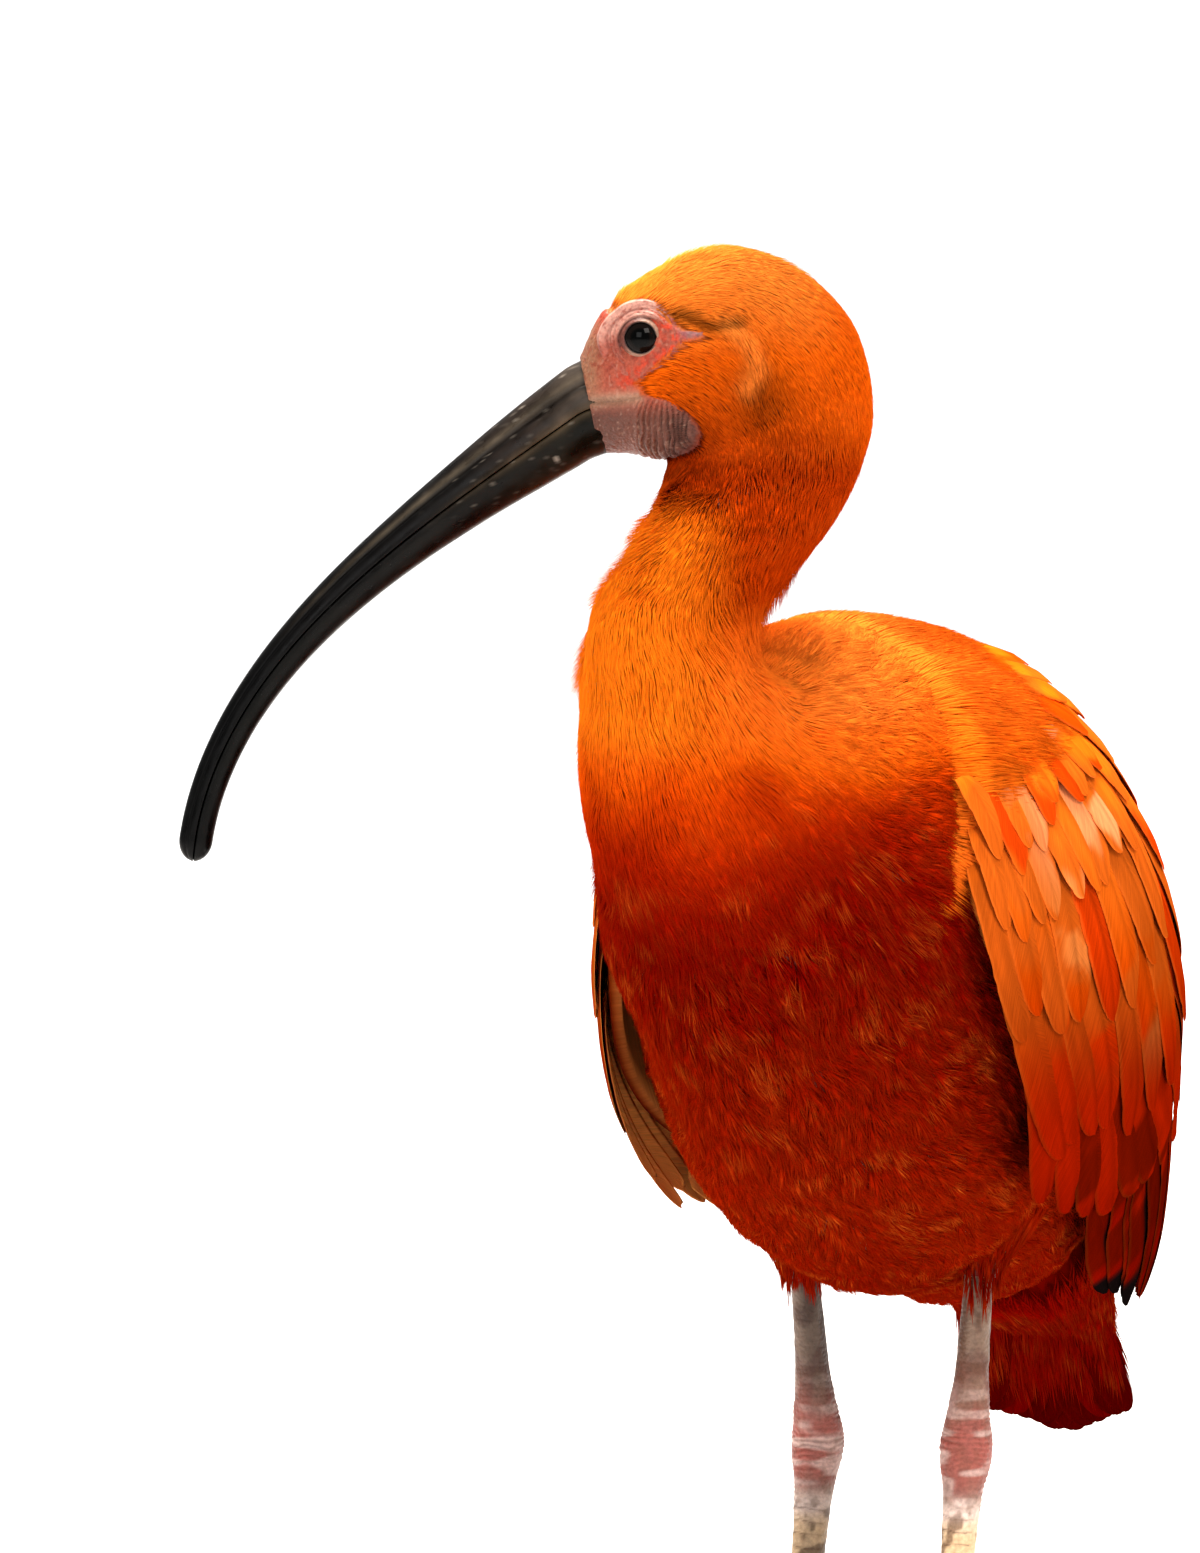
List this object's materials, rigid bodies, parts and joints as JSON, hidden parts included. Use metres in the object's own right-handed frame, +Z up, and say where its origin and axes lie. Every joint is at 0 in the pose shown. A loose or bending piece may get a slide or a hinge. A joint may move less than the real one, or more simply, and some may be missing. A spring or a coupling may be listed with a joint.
{
  "type": "scarlet ibis model",
  "caption": "Life-size still model of a scarlet ibis standing on both feet, head turned to its right, bill down.",
  "frame": {"origin": "middle of the bounding box in X and Y, on the floor under the feet", "axes": "+Z up, the bird faces -Y, its left side is +X"},
  "size_m": [0.1978, 0.274, 0.3695],
  "materials": {
    "scarlet_plumage": "matt body and flight feathers, orange red, deepening below",
    "bare_skin": "bare scaly skin of face, throat, legs and feet",
    "bill_horn": "blackish horn sheath of the bill, half gloss",
    "eye_dark": "wet dark eye",
    "claw_horn": "dark brown claw horn"
  },
  "bodies": {
    "root": {"head": "scarlet_plumage", "neck_upper": "scarlet_plumage", "neck_lower": "scarlet_plumage", "torso": "scarlet_plumage", "tail": "scarlet_plumage", "wing_left": "scarlet_plumage", "wing_right": "scarlet_plumage", "thigh_left": "scarlet_plumage", "thigh_right": "scarlet_plumage", "tibia_left": "bare_skin", "tibia_right": "bare_skin", "tarsus_left": "bare_skin", "tarsus_right": "bare_skin", "foot_left": "bare_skin", "foot_right": "bare_skin", "bill_upper": "bill_horn", "bill_lower": "bill_horn", "eye_left": "eye_dark", "eye_right": "eye_dark", "claw_middle_left": "claw_horn", "claw_middle_right": "claw_horn", "claw_inner_left": "claw_horn", "claw_inner_right": "claw_horn", "claw_outer_left": "claw_horn", "claw_outer_right": "claw_horn", "claw_hind_left": "claw_horn", "claw_hind_right": "claw_horn"}
  },
  "joints": []
}
